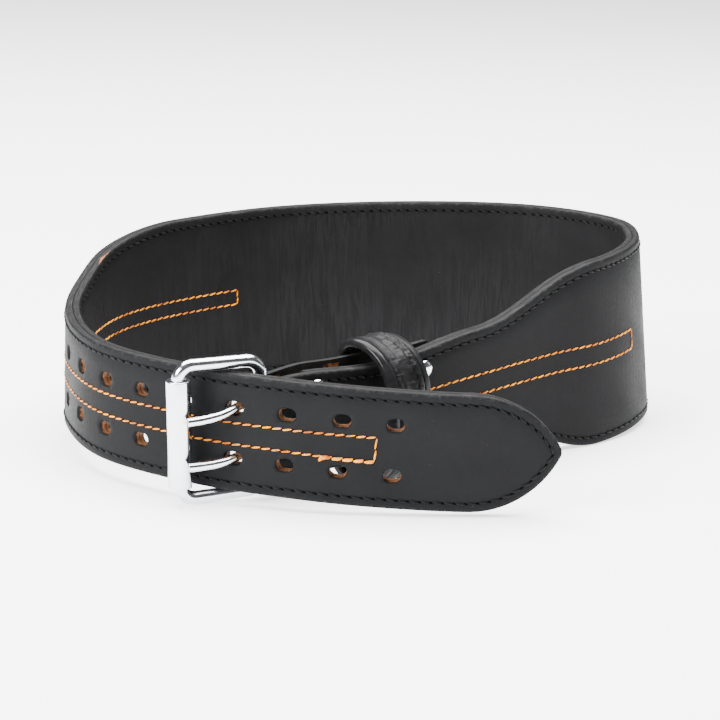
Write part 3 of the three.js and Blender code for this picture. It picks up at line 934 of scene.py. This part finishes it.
def bent_wire(name, points, radius, closed):
    curve = bpy.data.curves.new(name, "CURVE")
    curve.dimensions = "3D"
    curve.bevel_depth = radius
    curve.bevel_resolution = 7
    curve.use_fill_caps = True
    curve.resolution_u = 8
    spline = curve.splines.new("POLY" if closed else "BEZIER")
    spline.use_cyclic_u = closed
    spots = spline.points if closed else spline.bezier_points
    spots.add(len(points) - 1)
    for spot, place in zip(spots, points):
        spot.co = (*place, 1) if closed else place
        if not closed:
            spot.handle_left_type = spot.handle_right_type = "AUTO"
    piece = bpy.data.objects.new(name, curve)
    bpy.context.collection.objects.link(piece)
    only(piece)
    bpy.ops.object.convert(target="MESH")
    return bpy.context.object


def mount_on_bar(piece, material, hidden):
    only(piece)
    piece.matrix_world = bar_space @ piece.matrix_world
    bpy.ops.object.transform_apply()
    stand(piece)
    bpy.ops.object.shade_smooth_by_angle(angle=math.radians(40))
    piece.data.materials.clear()
    piece.data.materials.append(material)
    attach(piece, "root")
    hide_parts(hidden)


polished_chrome = chrome("chrome_polished", 0.12)
frame_line = []
corner_stops = 10
for corner in range(4):
    to_x = 1 if corner in (0, 3) else -1
    to_y = 1 if corner < 2 else -1
    for i in range(corner_stops + 1):
        angle = (corner + i / corner_stops) * math.pi / 2
        x = frame_length / 2 + to_x * (frame_length / 2 - frame_corner) + frame_corner * math.cos(angle)
        z = to_y * (frame_half - frame_corner) + frame_corner * math.sin(angle)
        squeeze = (bar_half + (frame_half - bar_half) * x / frame_length) / frame_half
        frame_line.append((x, 0, z * squeeze))
buckle_wire = bent_wire("buckle_wire", frame_line, wire_radius, True)
mount_on_bar(buckle_wire, polished_chrome, "buckle_frame")

# Roller.
# A steel tube rolled from sheet that turns on the front wire so the strap pulls through easily.
roller_radius = 0.006
roller_wall = 0.002
roller_length = 0.0545
sheet_round = 0.0005
bpy.ops.object.select_all(action="DESELECT")
bpy.ops.mesh.primitive_cylinder_add(vertices=96, radius=roller_radius, depth=roller_length)
roller_tube = bpy.context.object
roller_tube.name = "roller_tube"
for top in (1, -1):
    pick_faces(roller_tube, lambda face: face.normal.z * top > end_on)
    bpy.ops.mesh.inset(thickness=roller_wall)
    bpy.ops.mesh.extrude_region_move(TRANSFORM_OT_translate={"value": (0, 0, -top * roller_length / 2)})
    bpy.ops.mesh.delete(type="FACE")
    bpy.ops.object.mode_set(mode="OBJECT")
bpy.ops.object.mode_set(mode="EDIT")
bpy.ops.mesh.select_all(action="SELECT")
bpy.ops.mesh.remove_doubles(threshold=hair)
bpy.ops.object.mode_set(mode="OBJECT")
round_edges(roller_tube, sheet_round, 3)
roller_tube.location.x = frame_length
bpy.ops.object.transform_apply()
mount_on_bar(roller_tube, chrome("chrome_roller", 0.1), "roller")

# Prongs.
# Two forged steel tongues: each has an eye that swings on the bar and a shank that passes up through a
# hole of the strap and rests on the roller.
prong_radius = 0.0023
prong_over = 0.0072
prong_short = 0.0022
eye_wire = 0.0022
eye_radius = bar_radius + clearance + 2 * ply

# Shares of the frame's length, of the rise over the strap and of the droop towards the point
shank_rows = [(0.25, 0.62, 0), (0.39, 1, 0.2), (0.55, 1.25, 0.55), (0.76, 1.24, 0.85)]
for name, hidden, up, droop in (("prong_high", "prong_upper", row_up, 0.0049),
                                ("prong_low", "prong_lower", -row_up, 0.0024)):
    shank_line = [(0, bar_radius + clearance + prong_radius, up)]
    for along, over, fallen in shank_rows:
        shank_line.append((along * frame_length, over * prong_over, up - fallen * droop))
    shank_line.append((frame_length - prong_short, 1.1 * prong_over, up - droop))
    shank = bent_wire(name, shank_line, prong_radius, False)
    bpy.ops.object.select_all(action="DESELECT")
    eye_middle = (bar_radius + clearance + eye_radius) / 2
    bpy.ops.mesh.primitive_torus_add(major_radius=eye_middle, minor_radius=eye_wire, major_segments=40,
                                     minor_segments=14, location=(0, 0, up))
    bpy.ops.object.transform_apply()
    shank.select_set(True)
    bpy.context.view_layer.objects.active = shank
    bpy.ops.object.join()
    mount_on_bar(shank, polished_chrome, hidden)

# Rivets.
# Nickelled steel rivets with a domed head outside and a flat cap inside clamp the tab to the strap.
rivet_up = 0.0175
rivet_head = 0.0096
rivet_shank = 0.004
rivet_dome = 0.0028
rivet_cap = 0.0014
rivet_seat = 0.0004
for place, along in (("buckle", rivet_from_bar), ("keeper", rivet_near_end)):
    for level, up in (("upper", rivet_up), ("lower", -rivet_up)):
        bpy.ops.object.select_all(action="DESELECT")
        bpy.ops.mesh.primitive_uv_sphere_add(segments=40, ring_count=24, radius=rivet_head / 2)
        rivet = bpy.context.object
        rivet.name = f"rivet_{place}_{level}_set"
        bpy.ops.object.mode_set(mode="EDIT")
        bpy.ops.mesh.select_all(action="SELECT")
        bpy.ops.mesh.bisect(plane_co=(0, 0, 0), plane_no=(0, 0, 1), clear_inner=True, use_fill=True)
        bpy.ops.object.mode_set(mode="OBJECT")
        rivet.scale.z = rivet_dome / (rivet_head / 2)
        rivet.location = (along, up, strap_half + clearance)
        bpy.ops.object.transform_apply()
        inner_face = -(tab_offset(along) + ply / 2 + rivet_seat)
        bpy.ops.mesh.primitive_cylinder_add(vertices=40, radius=rivet_head / 2, depth=rivet_cap,
                                            location=(along, up, inner_face - rivet_cap / 2))
        cap = bpy.context.object
        bpy.ops.object.transform_apply()
        round_edges(cap, sheet_round, 4)
        shank_length = strap_half + clearance - inner_face
        bpy.ops.mesh.primitive_cylinder_add(vertices=24, radius=rivet_shank / 2, depth=shank_length,
                                            location=(along, up, inner_face + shank_length / 2))
        rivet_pin = bpy.context.object
        bpy.ops.object.transform_apply()
        only(rivet)
        cap.select_set(True)
        rivet_pin.select_set(True)
        bpy.ops.object.join()
        wrap_round_waist(rivet)
        stand(rivet)
        bpy.ops.object.shade_smooth_by_angle(angle=math.radians(40))
        rivet.data.materials.append(polished_chrome)
        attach(rivet, "root")
        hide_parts(f"rivet_{place}_{level}")

# Keeper loop.
# A band of glossy black leather turned round a padded core, rolled at both rims, stitched in a groove
# along each and wrinkled between, which holds the strap and tab together and takes the tongue's end.
keeper_width = 0.029
keeper_centre = 0.07
keeper_thickness = 0.005
keeper_middle = 0.0006
keeper_half_depth = 0.0169
keeper_half_height = 0.0352
keeper_front_radius = 0.0228
keeper_back_radius = 0.01
keeper_skew = 0.2
keeper_narrowing = 0.1
keeper_round_steps = 240
keeper_cross_steps = 144
keeper_squareness = 0.42
keeper_fullness = 0.62
keeper_corner_steps = 24
crinkle_depth = 0.001
scuff_depth = 0.0004
flange_step = 0.0006
past_rim = 0.007


def keeper_line():
    corners = []
    for corner in range(4):
        to_x = 1 if corner in (0, 3) else -1
        to_y = 1 if corner < 2 else -1
        radius = keeper_front_radius if to_x > 0 else keeper_back_radius
        for i in range(keeper_corner_steps + 1):
            angle = (corner + i / keeper_corner_steps) * math.pi / 2
            out = Vector((math.cos(angle), math.sin(angle)))
            middle = Vector((to_x * (keeper_half_depth - radius), to_y * (keeper_half_height - radius)))
            corners.append((middle + radius * out, out))
    corners.append(corners[0])
    walked = [0]
    for (here, _), (there, _) in zip(corners, corners[1:]):
        walked.append(walked[-1] + (there - here).length)
    return corners, walked


# The spot and the outward way at a share of the walk round the keeper
def keeper_stop(share):
    target = share * keeper_walked[-1]
    for i in range(len(keeper_walked) - 1):
        if keeper_walked[i + 1] >= target:
            gap = keeper_walked[i + 1] - keeper_walked[i]
            part = (target - keeper_walked[i]) / gap if gap > 0 else 0
            (here, out), (there, next_out) = keeper_corners[i], keeper_corners[i + 1]
            return here.lerp(there, part), out.lerp(next_out, part).normalized()
    return keeper_corners[-1]


# Place across the keeper from its mouth, spread and height of the padded roll, the stitched ridge, the deep
# fold, the flat and the flange
keeper_forms = [
    (0.1, 0.075, 0.0007), (0.215, 0.014, -0.0014), (0.265, 0.02, 0.0004), (0.315, 0.01, -0.0006),
    (0.38, 0.035, 0.0003), (0.45, 0.015, -0.0016), (0.56, 0.05, 0.0004), (0.665, 0.012, -0.0005),
    (0.835, 0.015, -0.0014),
]


def keeper_relief(walked, across):
    share = (across + 1) / 2 + 0.012 * noise.noise(Vector((walked * 95, 0, 7)))
    height = sum(rise * math.exp(-((share - at) / spread) ** 2) for at, spread, rise in keeper_forms)
    crinkled = smooth(share, 0.47, 0.55) * (1 - smooth(share, 0.76, 0.81))
    ridges = 1 - 2.4 * abs(noise.noise(Vector((walked * 170 + share * 14, share * 7, 5))))
    ridges += 0.8 * (1 - 2.4 * abs(noise.noise(Vector((walked * 460, share * 26, 11)))))
    height += crinkle_depth * crinkled * (ridges - 0.6)
    worn_ridge = smooth(share, 0.24, 0.28) * (1 - smooth(share, 0.4, 0.43))
    height += scuff_depth * worn_ridge * noise.noise(Vector((walked * 600, share * 30, 2)))
    return height - flange_step * smooth(share, 0.835, 0.86)


def keeper_spot(stop, out, across, depth):
    at = stop + out * depth
    share = at.x / keeper_half_depth
    along = keeper_width / 2 * across * (1 - keeper_narrowing * share) + keeper_skew * at.x
    return Vector((keeper_centre + along, at.y, keeper_middle + at.x))


keeper_corners, keeper_walked = keeper_line()
keeper_stops = [keeper_stop(i / keeper_round_steps) for i in range(keeper_round_steps)]
bpy.ops.object.select_all(action="DESELECT")
bpy.ops.mesh.primitive_torus_add(major_segments=keeper_round_steps, minor_segments=keeper_cross_steps,
                                 major_radius=1, minor_radius=0.25)
keeper_band = bpy.context.object
keeper_band.name = "keeper_band"
keeper_uv = keeper_band.data.uv_layers.active
keeper_uv.name = "flat"
keeper_flat = []
for v in keeper_band.data.vertices:
    turn = math.atan2(v.co.y, v.co.x) / (2 * math.pi) % 1
    stop, out = keeper_stops[round(turn * keeper_round_steps) % keeper_round_steps]
    angle = math.atan2(v.co.z, math.hypot(v.co.x, v.co.y) - 1)
    across = math.copysign(abs(math.sin(angle)) ** keeper_fullness, math.sin(angle))
    thick = math.copysign(abs(math.cos(angle)) ** keeper_squareness, math.cos(angle))
    walked = turn * keeper_walked[-1]
    depth = keeper_thickness / 2 * thick
    if thick > 0:
        depth += keeper_relief(walked, across) * smooth(thick, 0, 0.5)
    v.co = keeper_spot(stop, out, across, depth)
    keeper_flat.append((walked, keeper_width / 2 * across, thick))
for face in keeper_band.data.polygons:
    for loop in face.loop_indices:
        walked, across, thick = keeper_flat[keeper_band.data.loops[loop].vertex_index]
        keeper_uv.data[loop].uv = (walked, across + (0 if thick > 0 else 0.1))

# The keeper has no rubbed rim or stitch crease, and hands have polished the upper half of its roll
rim = keeper_band.data.attributes.new("rim", "FLOAT", "POINT")
polish = keeper_band.data.attributes.new("polish", "FLOAT", "POINT")
for v in keeper_band.data.vertices:
    across = keeper_flat[v.index][1]
    rim.data[v.index].value = keeper_width / 2 - abs(across) + past_rim
    upper = smooth(v.co.y, -0.01, 0.012)
    polish.data[v.index].value = upper * (1 - smooth(across / keeper_width + 0.5, 0.17, 0.23))
keeper_grain = black_leather("leather_keeper_grain", (0.0075, 0.0075, 0.008), 0.42, 0.00008, 0.0003, 0.14)
keeper_band.data.materials.append(keeper_grain)
wrap_round_waist(keeper_band)
stand(keeper_band)
bpy.ops.object.mode_set(mode="EDIT")
bpy.ops.mesh.select_all(action="SELECT")
bpy.ops.mesh.normals_make_consistent(inside=False)
bpy.ops.object.mode_set(mode="OBJECT")
bpy.ops.object.shade_smooth()
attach(keeper_band, "root")
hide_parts("keeper_loop")

# The two lines of stitches that close the band, as shares of its half width
keeper_pitch = 0.0042
keeper_stitch_length = 0.0036
keeper_thread = 0.001
keeper_slant = 0.3
keeper_thread_lift = 0.0002
for line, across in (("mouth", -0.57), ("flange", 0.67)):
    stitch_spots = []
    flat_across = abs(across) ** (2 / keeper_fullness)
    surface = keeper_thickness / 2 * math.sqrt(1 - flat_across) ** keeper_squareness
    count = int(keeper_walked[-1] / keeper_pitch)
    for i in range(count):
        stop, out = keeper_stop(i / count)
        depth = surface + keeper_relief(i / count * keeper_walked[-1], across) + keeper_thread_lift
        outward = Vector((0, out.y, out.x))
        round_it = Vector((0, out.x, -out.y))
        turned = Matrix((round_it, outward.cross(round_it), outward)).transposed().to_4x4()
        stitch_spots.append(Matrix.Translation(keeper_spot(stop, out, across, depth)) @ turned)
    keeper_stitch = stitch(keeper_stitch_length, keeper_thread, keeper_slant)
    keeper_stitching = copies_joined(f"keeper_stitching_{line}", keeper_stitch, stitch_spots)
    lay_thread(keeper_stitching, black_thread)

bpy.data.objects.remove(belt_course)
